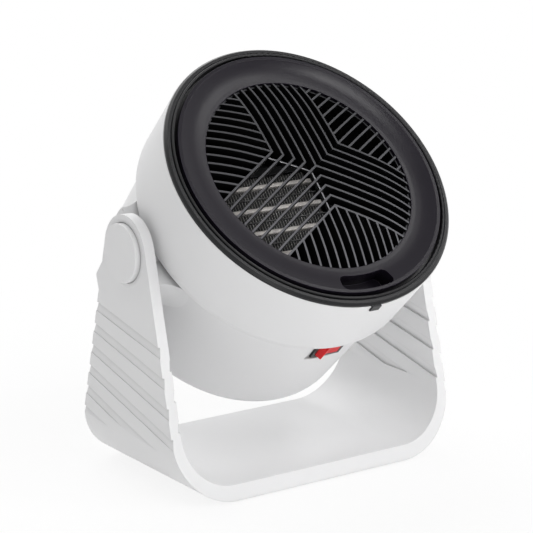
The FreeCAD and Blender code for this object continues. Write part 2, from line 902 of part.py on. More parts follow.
def front_grille():
    """Domed grille: nested chevrons on three arms, straight fins in the wedges, one rim."""
    top = mouth_height + grille_rise
    low = grille_seat - rim_depth - fin_depth
    clear_radius = grille_radius - running_gap
    fins = []
    for turn in range(3):
        arm = 90 + 120 * turn
        fins += [about_z(fin, arm) for fin in chevron_fins(grille_radius, low, top + 1)]
        fins += [about_z(fin, arm + 60) for fin in wedge_fins(grille_radius, low, top + 1)]
    shell = dome(top, clear_radius).cut(dome(top - fin_depth, clear_radius + 1))
    pattern = fins[0].multiFuse(fins[1:]).common(shell)
    rim = tube(clear_radius - 2 * running_gap, grille_radius + rim_wall, rim_bottom, grille_seat)
    return pattern.fuse(rim).removeSplitter()


def strip_heights():
    """Heights of the heating bars on the block's face."""
    return [strip_pitch * (index - (strip_count - 1) / 2) for index in range(strip_count)]


def layer_height():
    """Height of one corrugated layer: two of them and a plate fill the gap between two bars."""
    return (strip_pitch - strip_thickness - plate_thickness) / 2


def heater_strips():
    """Flat heating bars across the block."""
    half = strip_thickness / 2
    return [block((-strip_length / 2, y - half, block_rear), (strip_length / 2, y + half, block_front))
            for y in strip_heights()]


def fin_layers():
    """Middle heights of all corrugated layers, from the lowest up."""
    step = (strip_thickness + layer_height()) / 2
    layers = []
    for y in strip_heights():
        layers += [y - step, y + step]
    return layers


def heater_fins():
    """Corrugated layers, each a folded sheet between a bar and a plate."""
    folds = int(strip_length / fold_pitch) - 1
    half = layer_height() / 2 - fit_gap
    layers = []
    for y in fin_layers():
        ridge = []
        for index in range(2 * folds + 1):
            x = -folds * fold_pitch / 2 + index * fold_pitch / 2
            ridge.append((x, half if index % 2 else -half + fold_sheet))
        upper = [(x, y + v) for x, v in ridge]
        lower = [(x, y + v - fold_sheet) for x, v in ridge]
        sheet = prism(upper + lower[::-1], on_xy, Z_AXIS * (strip_depth - 2 * fold_setback))
        layers.append(moved(sheet, 0, 0, block_rear + fold_setback))
    return layers


def fin_plates():
    """Thin plates between pairs of corrugated layers and outside the first and last."""
    half_length = strip_length / 2
    outer = strip_heights()[-1] + strip_thickness / 2 + layer_height() + plate_thickness / 2
    middles = [y + strip_pitch / 2 for y in strip_heights()[:-1]]
    half = plate_thickness / 2
    return [block((-half_length, y - half, block_rear + fold_setback),
                  (half_length, y + half, block_front - fold_setback / 2))
            for y in [-outer] + middles + [outer]]


def block_half_size():
    """Half length and half height of the heating block."""
    height = strip_heights()[-1] + strip_thickness / 2 + layer_height() + plate_thickness
    return strip_length / 2, height


def frame_half_size():
    """Half length and half height of the frame round the heating block."""
    half_x, half_y = block_half_size()
    return half_x + running_gap + frame_wall, half_y + running_gap + frame_wall


def heater_frame():
    """Heat-proof frame: four walls with a lip in front and behind, slotted for the terminals."""
    half_x, half_y = block_half_size()
    in_x, in_y = half_x + running_gap, half_y + running_gap
    out_x, out_y = frame_half_size()
    front = block_front + running_gap + frame_lip_thickness
    frame = block((-out_x, -out_y, shroud_front), (out_x, out_y, front))
    cavity = block((-in_x, -in_y, block_rear), (in_x, in_y, block_front + running_gap))
    window = block((-half_x + frame_lip, -half_y + frame_lip, shroud_front - 1),
                   (half_x - frame_lip, half_y - frame_lip, front + 1))
    frame = frame.cut(cavity.fuse(window))
    for tab in heater_terminals():
        box = tab.BoundBox
        frame = frame.cut(block((box.XMin, box.YMin - running_gap, box.ZMin - running_gap),
                                (box.XMax, box.YMax + running_gap, box.ZMax + running_gap)))
    return frame


def heater_terminals():
    """Flat tabs at the left ends of the heating bars."""
    end = -strip_length / 2
    middle = (block_front + block_rear) / 2
    half = tab_blade_thickness / 2
    return [block((end - tab_blade_length, y - half, middle - tab_blade_width / 2),
                  (end, y + half, middle + tab_blade_width / 2)) for y in strip_heights()]


def boss_notches(start, end):
    """Clearance for the housing bosses where a disc passes them."""
    return [wall_boss(angle, start, end, running_gap) for angle in corner_angles(housing_screw_angle)]


def screw_holes(radius, start, end):
    """Holes of the four shroud screws."""
    return [moved(rod(radius, start, end), *on_circle(screw_circle, angle), 0)
            for angle in corner_angles(shroud_screw_angle)]


def bulkhead_relief(start, end):
    """Room that the discs leave for the pivot bosses and the switch case."""
    reach = 2 * mouth_radius
    boss = cross_rod(inner_boss_radius + running_gap, -reach, reach)
    case_half = switch_length / 2 + pocket_margin_length + housing_wall + running_gap
    inner = switch_face - switch_case_depth - terminal_length - housing_wall
    case = block((switch_right - case_half, -reach, start), (switch_right + case_half, -inner, end))
    return [boss, case]


def fan_shroud():
    """Bulkhead with a window for the heating block and the ring around the fan."""
    radius = drum_radius_at(shroud_rear) - housing_wall - running_gap
    half_x, half_y = block_half_size()
    disc = rod(radius, shroud_rear, shroud_front)
    ring = tube(fan_ring_radius, fan_ring_radius + fan_ring_wall, fan_ring_end, shroud_front)
    window = block((-half_x + frame_lip, -half_y + frame_lip, shroud_rear - 1),
                   (half_x - frame_lip, half_y - frame_lip, shroud_front + 1))
    cuts = boss_notches(shroud_rear - 1, shroud_front + 1)
    cuts += screw_holes(screw_radius + fit_gap, shroud_rear - 1, shroud_front + 1)
    cuts += bulkhead_relief(shroud_rear - 1, shroud_front + 1)
    return disc.fuse(ring).cut(window).cut(Part.makeCompound(cuts)).removeSplitter()


def outlet_duct():
    """Black duct: a flange on the bulkhead, a straight collar, then a cone out to the grille's rim."""
    flange_radius = drum_radius_at(shroud_front) - housing_wall - running_gap
    end = rim_bottom - fit_gap
    end_radius = grille_radius + rim_wall
    flange_top = shroud_front + duct_flange
    duct = turned([
        (duct_rear_radius - duct_wall, shroud_front),
        (flange_radius, shroud_front),
        (flange_radius, flange_top),
        (duct_rear_radius, flange_top),
        (duct_rear_radius, duct_cone_start),
        (end_radius, end),
        (end_radius - duct_wall, end),
        (duct_rear_radius - duct_wall, duct_cone_start),
    ])
    cuts = boss_notches(shroud_front - 1, flange_top + 1)
    cuts += screw_holes(screw_radius + fit_gap, shroud_front - 1, flange_top + 1)
    cuts += bulkhead_relief(shroud_front - 1, flange_top + 1)[1:]
    boss_zone = 2 * mouth_radius
    cuts += [cross_rod(inner_boss_radius + running_gap, duct_rear_radius + 1, boss_zone)]
    cuts += [cross_rod(inner_boss_radius + running_gap, -boss_zone, -duct_rear_radius - 1)]
    return duct.cut(Part.makeCompound(cuts)).removeSplitter()


def screw(seat):
    """Pan-head screw pointing down from a seat height."""
    head = turned([(0, seat), (screw_head_radius, seat), (screw_head_radius, seat + screw_head_height, screw_head_round),
                   (0, seat + screw_head_height)])
    return head.fuse(rod(screw_radius, seat - screw_length, seat))


def ring_of_screws(seat, angle):
    """Four screws on the screw circle."""
    return [moved(screw(seat), *on_circle(screw_circle, turn), 0) for turn in corner_angles(angle)]


def motor_screw_places():
    """Centres of the motor's screws."""
    return [on_circle(motor_screw_circle, 90 + 360 * index / motor_screw_count)
            for index in range(motor_screw_count)]


def motor_screws():
    """Screws from the back, sunk into the rear wall, that hold the motor."""
    seat = drum_rear + screw_head_height
    head = rod(screw_head_radius, drum_rear + fit_gap, seat)
    one = head.fuse(rod(screw_radius, seat, motor_rear + motor_wall))
    return [moved(one, x, y, 0) for x, y in motor_screw_places()]


def motor_can():
    """Motor case: a cup closed at the rear."""
    can = rod(motor_radius, motor_rear, motor_front - motor_wall)
    can = can.cut(rod(motor_radius - motor_wall, motor_rear + motor_wall, motor_front))
    can = can.cut(rod(bush_radius + fit_gap, motor_rear - 1, motor_rear + motor_wall + 1))
    for x, y in motor_screw_places():
        can = can.cut(moved(rod(screw_radius + fit_gap, motor_rear - 1, motor_rear + motor_wall + 1), x, y, 0))
    return can


def motor_end_plate():
    """Front plate of the motor with the front bearing seat."""
    return tube(bush_radius + fit_gap, motor_radius, motor_front - motor_wall, motor_front)


def motor_bushes():
    """Plain bearings in the rear wall of the can and in the end plate."""
    rear = tube(shaft_radius + fit_gap, bush_radius, motor_rear, motor_rear + bush_length)
    front = tube(shaft_radius + fit_gap, bush_radius, motor_front - bush_length, motor_front)
    return [rear, front]


def motor_middle():
    """Middle height of the motor's inside."""
    return (motor_rear + motor_front) / 2


def motor_stator():
    """Wound ring that fills the can around the rotor."""
    half = stator_length / 2
    return tube(rotor_radius + air_gap, motor_radius - motor_wall - fit_gap, motor_middle() - half,
                motor_middle() + half)


def motor_rotor():
    """Rotor on the shaft."""
    half = rotor_length / 2
    return tube(shaft_radius + fit_gap, rotor_radius, motor_middle() - half, motor_middle() + half)


def fan_shaft():
    """Motor shaft from the rear bush to the nose of the hub."""
    return rod(shaft_radius, motor_rear + running_gap, impeller_front + shaft_nose)


def blade_section(radius, chord, pitch):
    """Rectangular section of a blade at a radius, standing across X."""
    middle = (impeller_front + impeller_rear) / 2
    along = vec(0, math.cos(math.radians(pitch)), math.sin(math.radians(pitch))) * (chord / 2)
    across = vec(0, -math.sin(math.radians(pitch)), math.cos(math.radians(pitch))) * (blade_thickness / 2)
    centre = vec(radius, 0, middle)
    corners = [centre - along - across, centre + along - across, centre + along + across, centre - along + across]
    return Part.makePolygon(corners + [corners[0]])


def fan_impeller():
    """Axial fan wheel: a round-nosed hub and twisted blades."""
    hub = turned([(0, impeller_rear), (hub_radius, impeller_rear), (hub_radius, impeller_front, hub_nose_round),
                  (0, impeller_front)])
    root = blade_section(hub_radius - 2, blade_root_chord, blade_root_pitch)
    tip = blade_section(impeller_radius, blade_tip_chord, blade_tip_pitch)
    blade = Part.makeLoft([root, tip], True, True)
    trim = rod(impeller_radius - blade_thickness, impeller_rear - hub_length, impeller_front + hub_length)
    blade = blade.common(trim)
    blades = [about_z(blade, 360 * index / blade_count) for index in range(blade_count)]
    wheel = hub.multiFuse(blades)
    return wheel.cut(rod(shaft_radius + fit_gap, impeller_rear - 1, impeller_front + 1)).removeSplitter()


def switch_body():
    """Switch bezel and case, open in front for the rocker."""
    top = switch_face + switch_flange
    bezel = block((-switch_length / 2, -top, -switch_width / 2),
                  (switch_length / 2, -switch_face, switch_width / 2))
    case = block((-switch_case_length / 2, -switch_face, -switch_case_width / 2),
                 (switch_case_length / 2, -switch_face + switch_case_depth, switch_case_width / 2))
    well = block((-rocker_room_length(), -top - 1, -rocker_room_width()),
                 (rocker_room_length(), -switch_face + switch_case_depth - switch_wall, rocker_room_width()))
    return at_switch(bezel.fuse(case).cut(well).cut(rocker_pin(fit_gap)).removeSplitter())


def rocker_room_length():
    """Half length of the well in the switch."""
    return switch_case_length / 2 - switch_wall


def rocker_room_width():
    """Half width of the well in the switch."""
    return switch_case_width / 2 - switch_wall


def rocker_axis_height():
    """Height of the rocker's pivot on the face, below the bezel's top."""
    return -(switch_face + switch_flange - rocker_pivot_depth)


def rocker_pin(clearance):
    """Pin of the rocker, across the switch."""
    length = switch_case_width - 2 * running_gap
    pin = rod(rocker_pin_radius + clearance, -length / 2 - clearance, length / 2 + clearance)
    return moved(pin, 0, rocker_axis_height(), 0)


def switch_rocker():
    """Red rocker, pressed on its right: level there and raised to a peak on its left."""
    reach = rocker_room_length() - running_gap
    half_length = math.sqrt(reach ** 2 - (rocker_pivot_depth + rocker_level) ** 2)
    peak_x = -half_length + rocker_peak_setback
    top = -(switch_face + switch_flange)
    corners = [
        (half_length, top - rocker_level),
        (0, top - rocker_level, rocker_saddle_round),
        (peak_x, top - rocker_peak, rocker_peak_round),
        (-half_length, top - rocker_level / 2),
        (-half_length, top + rocker_pivot_depth),
        (-half_length / 3, top + rocker_belly),
        (half_length / 3, top + rocker_belly),
        (half_length, top + rocker_pivot_depth),
    ]
    width = rocker_room_width() - running_gap
    body = moved(prism(corners, on_xy, Z_AXIS * (2 * width)), 0, 0, -width)
    return at_switch(body.fuse(rocker_pin(0)).removeSplitter())


def switch_terminals():
    """Two blades behind the switch case."""
    start = -switch_face + switch_case_depth
    half = terminal_thickness / 2
    blade = block((-half, start, -terminal_width / 2), (half, start + terminal_length, terminal_width / 2))
    return [at_switch(moved(blade, x, 0, 0)) for x in (-switch_case_length / 4, switch_case_length / 4)]


def thermal_cutout():
    """Disc thermostat with its mounting plate, on the bulkhead above the heating block."""
    seat = shroud_front
    height = frame_half_size()[1] + cutout_clear + cutout_radius
    plate = block((-cutout_flange_length / 2, height - cutout_flange_width / 2, seat),
                  (cutout_flange_length / 2, height + cutout_flange_width / 2, seat + cutout_flange_thickness))
    disc = moved(rod(cutout_radius, seat, seat + cutout_height), 0, height, 0)
    return plate.fuse(disc).removeSplitter()


def thermal_fuse():
    """One-shot fuse with its two leads, lying on the bulkhead below the heating block."""
    middle = shroud_front + fuse_radius
    body = cross_rod(fuse_radius, -fuse_length / 2, fuse_length / 2)
    lead = cross_rod(fuse_lead_radius, -fuse_length / 2 - fuse_lead_length, fuse_length / 2 + fuse_lead_length)
    height = frame_half_size()[1] + fuse_clear + fuse_radius
    return moved(body.fuse(lead), 0, -height, middle)


def cord_inlet():
    """Bush in the rear wall with an open bore for a lead."""
    outer = drum_rear - cord_flange
    inner = rear_face_inside + cord_flange
    bush = turned([
        (cord_bore_radius, outer),
        (cord_flange_radius, outer),
        (cord_flange_radius, drum_rear),
        (cord_neck_radius, drum_rear),
        (cord_neck_radius, rear_face_inside),
        (cord_flange_radius, rear_face_inside),
        (cord_flange_radius, inner),
        (cord_bore_radius, inner),
    ])
    return moved(bush, 0, -cord_place, 0)


os.makedirs("parts", exist_ok=True)

save("yoke_stand", yoke_stand())
save("rubber_feet", *rubber_feet())
save_on_head("front_housing", front_housing())
save_on_head("rear_housing", rear_housing())
save_on_head("pivot_bolts", *both_sides(pivot_bolt()))
save_on_head("pivot_caps", *both_sides(pivot_cap()))
save_on_head("pivot_washers", *both_sides(pivot_washer()))
save_on_head("bezel_ring", bezel_ring())
save_on_head("front_dish", front_dish())
save_on_head("front_grille", front_grille())
save_on_head("heater_strips", *heater_strips())
save_on_head("heater_fins", *heater_fins())
save_on_head("fin_plates", *fin_plates())
save_on_head("heater_frame", heater_frame())
save_on_head("heater_terminals", *heater_terminals())
save_on_head("fan_shroud", fan_shroud())
save_on_head("outlet_duct", outlet_duct())
save_on_head("shroud_screws", *ring_of_screws(shroud_front + duct_flange, shroud_screw_angle))
save_on_head("housing_screws", *ring_of_screws(band_floor, housing_screw_angle))
save_on_head("fan_impeller", fan_impeller())
save_on_head("fan_shaft", fan_shaft())
save_on_head("motor_rotor", motor_rotor())
save_on_head("motor_stator", motor_stator())
save_on_head("motor_can", motor_can())
save_on_head("motor_end_plate", motor_end_plate())
save_on_head("motor_bushes", *motor_bushes())
save_on_head("motor_screws", *motor_screws())
save_on_head("switch_body", switch_body())
save_on_head("switch_rocker", switch_rocker())
save_on_head("switch_terminals", *switch_terminals())
save_on_head("thermal_cutout", thermal_cutout())
save_on_head("thermal_fuse", thermal_fuse())
save_on_head("cord_inlet", cord_inlet())
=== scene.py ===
"""Looks of a fan heater: a tilting round head with a domed black grille in a white yoke stand."""

import logging
import math
from dataclasses import dataclass
from enum import Enum
from typing import Callable, Union

import bpy
from mathutils import Matrix, Vector


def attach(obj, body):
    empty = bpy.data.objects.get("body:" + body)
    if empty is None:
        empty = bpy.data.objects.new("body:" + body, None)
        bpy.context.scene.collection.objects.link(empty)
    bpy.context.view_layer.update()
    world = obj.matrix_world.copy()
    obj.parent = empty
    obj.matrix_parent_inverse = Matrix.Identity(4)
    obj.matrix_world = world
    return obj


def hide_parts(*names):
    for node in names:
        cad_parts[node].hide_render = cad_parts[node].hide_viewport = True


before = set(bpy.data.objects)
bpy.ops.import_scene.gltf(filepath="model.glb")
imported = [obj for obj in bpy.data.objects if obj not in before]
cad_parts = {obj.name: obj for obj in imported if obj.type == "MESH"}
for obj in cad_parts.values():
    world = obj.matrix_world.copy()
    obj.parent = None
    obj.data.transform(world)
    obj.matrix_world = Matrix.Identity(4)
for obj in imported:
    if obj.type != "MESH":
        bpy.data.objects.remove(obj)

LOG = logging.getLogger("fan_heater")
MM = 0.001
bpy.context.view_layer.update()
SAME_WAY = 0.9  # cosine above which a face counts as looking in a direction
FINE_DETAIL = 2.0  # layers of the noise in grain and lines
SOFT_DETAIL = 3.0  # layers of the noise in clouding and bloom
NOISE_MIDDLE = 0.5  # the number that noise swings about

Colour = tuple[float, float, float]
Place = tuple[float, float, float]

OPAQUE = 1.0
WHITE = (1.0, 1.0, 1.0, OPAQUE)


class Slot(Enum):
    """Names of the record's material slots; no piece in this script takes its finish from them."""

    BLACK_PLASTIC = "black_plastic"
    HEATER_ALUMINIUM = "heater_aluminium"
    ZINC_STEEL = "zinc_steel"


class Ray(Enum):
    """Light Path's names of the rays that see the floor and the sky as white."""

    CAMERA = "Is Camera Ray"
    GLOSSY = "Is Glossy Ray"
    TRANSMISSION = "Is Transmission Ray"


class MixForm(Enum):
    """Forms of a Mix node: its data type, then the places of its two inputs and of its result."""

    NUMBER = ("FLOAT", 2, 3, 0)
    COLOUR = ("RGBA", 6, 7, 2)


class Bench:
    """Modelling steps that the new pieces share."""

    @staticmethod
    def choose(*pieces: bpy.types.Object) -> None:
        """Leave edit mode and select only these pieces, the first one active.

        Args:
            pieces: the pieces to work on.
        """
        if bpy.context.mode != "OBJECT":
            bpy.ops.object.mode_set(mode="OBJECT")
        bpy.ops.object.select_all(action="DESELECT")
        for piece in pieces:
            piece.select_set(True)
        bpy.context.view_layer.objects.active = pieces[0]

    @staticmethod
    def start_picking(piece: bpy.types.Object, element: str) -> None:
        """Get a piece ready for its points or faces to be selected in code.

        Args:
            piece: the piece to edit.
            element: VERT or FACE.
        """
        Bench.choose(piece)
        bpy.ops.object.mode_set(mode="EDIT")
        bpy.ops.mesh.select_mode(type=element)
        bpy.ops.mesh.select_all(action="DESELECT")
        bpy.ops.object.mode_set(mode="OBJECT")

    @staticmethod
    def pick_points(piece: bpy.types.Object, wanted: Callable[[Vector], bool]) -> None:
        """Enter edit mode with the points at wanted places selected.

        Args:
            piece: the piece to edit.
            wanted: says of a place whether its point is selected.
        """
        Bench.start_picking(piece, "VERT")
        for point in piece.data.vertices:
            point.select = wanted(point.co)
        bpy.ops.object.mode_set(mode="EDIT")

    @staticmethod
    def pick_faces(piece: bpy.types.Object, wanted: Callable[[bpy.types.MeshPolygon], bool]) -> None:
        """Enter edit mode with the wanted faces selected.

        Args:
            piece: the piece to edit.
            wanted: says of a face whether it is selected.
        """
        Bench.start_picking(piece, "FACE")
        for face in piece.data.polygons:
            face.select = wanted(face)
        bpy.ops.object.mode_set(mode="EDIT")

    @staticmethod
    def done() -> None:
        """Leave edit mode."""
        bpy.ops.object.mode_set(mode="OBJECT")

    @staticmethod
    def modify(piece: bpy.types.Object, kind: str, **settings: object) -> None:
        """Add a modifier and apply it.

        Args:
            piece: the piece to change.
            kind: the modifier's type.
            settings: the modifier's properties.
        """
        Bench.choose(piece)
        modifier = piece.modifiers.new(kind.lower(), kind)
        for name, setting in settings.items():
            setattr(modifier, name, setting)
        bpy.ops.object.modifier_apply(modifier=modifier.name)

    @staticmethod
    def copy_to(piece: bpy.types.Object, places: list[Place],
                turns: tuple[float, ...] = ()) -> bpy.types.Object:
        """Copy a piece to each place and join the copies into one.

        Args:
            piece: the piece, modelled around the origin.
            places: where a copy stands, in the head's frame.
            turns: angle of each copy about Z in degrees; none leaves them unturned.

        Returns:
            The joined piece.
        """
        copies = []
        for place, turn in zip(places, turns or [0.0] * len(places)):
            Bench.choose(piece)
            bpy.ops.object.duplicate(linked=False)
            copy = bpy.context.object
            copy.location = place
            copy.rotation_euler = (0, 0, math.radians(turn))
            bpy.ops.object.transform_apply(location=True, rotation=True, scale=False)
            copies.append(copy)
        name = piece.name
        bpy.data.objects.remove(piece)
        Bench.choose(*copies)
        bpy.ops.object.join()
        copies[0].name = name
        return copies[0]


@dataclass(frozen=True)
class HeadFrame:
    """The head's own frame: X along the pivot, Z along the air stream."""

    body: str = "head"
    pivot_height: float = 143.55 * MM
    lean: float = 45.0

    def forward(self) -> Vector:
        """Direction of the air stream."""
        lean = math.radians(self.lean)
        return Vector((0, -math.sin(lean), math.cos(lean)))

    def take(self, piece: bpy.types.Object, replaced: str | None = None) -> bpy.types.Object:
        """Bring a piece from the head's frame to its place, in its mesh, and let it move with the head.

        Args:
            piece: a piece modelled in the head's frame.
            replaced: the CAD node that it stands for, if there is one.

        Returns:
            The same piece.
        """
        lift = Matrix.Translation((0, 0, self.pivot_height))
        piece.matrix_world = lift @ Matrix.Rotation(math.radians(self.lean), 4, "X") @ piece.matrix_world
        Bench.choose(piece)
        bpy.ops.object.transform_apply(location=True, rotation=True, scale=True)
        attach(piece, self.body)
        if replaced is not None:
            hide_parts(replaced)
        return piece


HEAD = HeadFrame()


class Value:
    """A shader number that can be used in Python sums."""

    def __init__(self, nodes: "Nodes", socket: bpy.types.NodeSocket) -> None:
        """Keep the nodes it belongs to and the socket that gives the number."""
        self.nodes = nodes
        self.socket = socket

    def _math(self, operation: str, first: "Number", second: "Number") -> "Value":
        """Add one Math node.

        Args:
            operation: the Math node's operation.
            first: its first number.
            second: its second number.

        Returns:
            The node's result.
        """
        made = self.nodes.node("ShaderNodeMath", {"operation": operation}, {0: first, 1: second})
        return Value(self.nodes, made.outputs[0])

    def __add__(self, other: "Number") -> "Value":
        """Sum."""
        return self._math("ADD", self, other)

    __radd__ = __add__

    def __sub__(self, other: "Number") -> "Value":
        """Difference."""
        return self._math("SUBTRACT", self, other)

    def __rsub__(self, other: "Number") -> "Value":
        """Difference from a plain number."""
        return self._math("SUBTRACT", other, self)

    def __mul__(self, other: "Number") -> "Value":
        """Product."""
        return self._math("MULTIPLY", self, other)

    __rmul__ = __mul__

    def smooth_step(self, low: float, high: float) -> "Value":
        """Rise smoothly from 0 at low to 1 at high.

        Args:
            low: where the rise starts.
            high: where it ends.

        Returns:
            The eased value.
        """
        made = self.nodes.node(
            "ShaderNodeMapRange",
            {"interpolation_type": "SMOOTHSTEP"},
            {"Value": self, "From Min": low, "From Max": high},
        )
        return Value(self.nodes, made.outputs["Result"])


Number = Union[Value, float, int]
Tint = Union[bpy.types.NodeSocket, Colour]


class Nodes:
    """The nodes of a material or of the world."""

    def __init__(self, tree: bpy.types.NodeTree) -> None:
        """Keep the tree that takes the nodes."""
        self.tree = tree

    def node(self, kind: str, settings: dict[str, object] | None = None,
             inputs: dict[str | int, object] | None = None) -> bpy.types.Node:
        """Add any node.

        Args:
            kind: the node's type.
            settings: its properties, set first.
            inputs: values or links for its sockets.

        Returns:
            The new node.
        """
        made = self.tree.nodes.new(kind)
        for name, setting in (settings or {}).items():
            setattr(made, name, setting)
        for key, given in (inputs or {}).items():
            self.feed(made.inputs[key], given)
        return made

    def feed(self, socket: bpy.types.NodeSocket, given: object) -> None:
        """Link a value to a socket, or set a plain number or colour on it.

        Args:
            socket: the socket to feed.
            given: a value, another node's socket, or what is set.
        """
        source = given.socket if isinstance(given, Value) else given
        if isinstance(source, bpy.types.NodeSocket):
            self.tree.links.new(source, socket)
        else:
            socket.default_value = source

    def mix(self, form: MixForm, share: object, first: object, second: object) -> bpy.types.NodeSocket:
        """Mix two numbers or two colours.

        Args:
            form: which of them it mixes.
            share: how much of the second shows.
            first: what shows at 0.
            second: what shows at 1.

        Returns:
            The mixture's socket.
        """
        data_type, first_place, second_place, result = form.value
        made = self.node("ShaderNodeMix", {"data_type": data_type},
                         {0: share, first_place: first, second_place: second})
        return made.outputs[result]

    def when_seen(self, level: float) -> Value:
        """A level that turns to 1 for rays from the camera, off gloss and through glass.

        Args:
            level: the number for all other rays.

        Returns:
            The number.
        """
        path = self.node("ShaderNodeLightPath").outputs
        reached: float | bpy.types.NodeSocket = level
        for ray in Ray:
            reached = self.mix(MixForm.NUMBER, path[ray.value], reached, 1.0)
        return Value(self, reached)


class Shader(Nodes):
    """One material and the nodes that make it."""

    BEVEL_SAMPLES = 6
    OPEN_SAMPLES = 8
    EDGE_RISE = (0.01, 0.25)
    FACING_RISE = (0.6, 0.9)

    def __init__(self, name: str) -> None:
        """Start a material that holds only a Principled shader and its output.

        Args:
            name: the material's name.
        """
        self.material = bpy.data.materials.new(name)
        self.material.use_nodes = True
        super().__init__(self.material.node_tree)
        self.surface = self.tree.nodes["Principled BSDF"]

    def finish(self, **inputs: object) -> bpy.types.Material:
        """Feed the Principled shader.

        Args:
            inputs: socket names with underscores for spaces, and what feeds them.

        Returns:
            The finished material.
        """
        for name, given in inputs.items():
            self.feed(self.surface.inputs[name.replace("_", " ")], given)
        return self.material

    def point(self, stretch: Place = (1.0, 1.0, 1.0)) -> bpy.types.NodeSocket:
        """Object coordinates times a factor along each axis."""
        place = self.node("ShaderNodeTexCoord").outputs["Object"]
        return self.node("ShaderNodeVectorMath", {"operation": "MULTIPLY"}, {0: place, 1: stretch}).outputs[0]

    def dot(self, first: object, second: object) -> Value:
        """Dot product of two directions."""
        made = self.node("ShaderNodeVectorMath", {"operation": "DOT_PRODUCT"}, {0: first, 1: second})
        return Value(self, made.outputs["Value"])

    def noise(self, grain: float, detail: float, stretch: Place = (1.0, 1.0, 1.0)) -> Value:
        """Soft noise over the surface.

        Args:
            grain: size of one patch in metres.
            detail: how many finer layers it has.
            stretch: factor along each axis.

        Returns:
            Noise around one half.
        """
        made = self.node("ShaderNodeTexNoise", None, {
            "Vector": self.point(stretch), "Scale": 1.0 / grain, "Detail": detail})
        return Value(self, made.outputs["Fac"])

    def blend(self, share: Number, first: Tint, second: Tint) -> bpy.types.NodeSocket:
        """Mix two colours.

        Args:
            share: how much of the second shows.
            first: a colour or a colour socket.
            second: a colour or a colour socket.

        Returns:
            The mixed colour's socket.
        """
        pair = [(*tint, OPAQUE) if isinstance(tint, tuple) else tint for tint in (first, second)]
        return self.mix(MixForm.COLOUR, share, *pair)

    def rounded(self, radius: float) -> bpy.types.NodeSocket:
        """Normal of the surface with its sharp edges rounded."""
        made = self.node("ShaderNodeBevel", {"samples": self.BEVEL_SAMPLES}, {"Radius": radius})
        return made.outputs["Normal"]

    def edge(self, radius: float) -> Value:
        """Mask that is 0 on flat places and rises along sharp edges.

        Args:
            radius: reach of the mask from an edge, in metres.

        Returns:
            The mask.
        """
        plain = self.node("ShaderNodeNewGeometry").outputs["Normal"]
        kept = self.dot(self.rounded(radius), plain)
        return (1.0 - kept).smooth_step(*self.EDGE_RISE)

    def openness(self, reach: float) -> Value:
        """How open the surface is: 1 on free faces, less where a wall stands within reach."""
        made = self.node("ShaderNodeAmbientOcclusion", {"samples": self.OPEN_SAMPLES}, {"Distance": reach})
        return Value(self, made.outputs["AO"])

    def height(self) -> Value:
        """Height above the floor, in metres."""
        made = self.node("ShaderNodeSeparateXYZ", None, {"Vector": self.point()})
        return Value(self, made.outputs["Z"])

    def facing(self, direction: Vector) -> Value:
        """Mask that is 1 on faces that look in a direction and 0 on faces that stand along it."""
        plain = self.node("ShaderNodeTexCoord").outputs["Normal"]
        return self.dot(plain, tuple(direction)).smooth_step(*self.FACING_RISE)

    def bump(self, height: Value, depth: float, normal: bpy.types.NodeSocket) -> bpy.types.NodeSocket:
        """Raise the surface by a height.

        Args:
            height: 0 to 1 over the surface.
            depth: how far 1 stands out, in metres.
            normal: normal to start from.

        Returns:
            The bumped normal's socket.
        """
        made = self.node("ShaderNodeBump", None, {"Height": height, "Distance": depth, "Normal": normal})
        return made.outputs["Normal"]


def scaled(colour: Colour, factor: float) -> Colour:
    """A colour made lighter or darker."""
    return tuple(channel * factor for channel in colour)


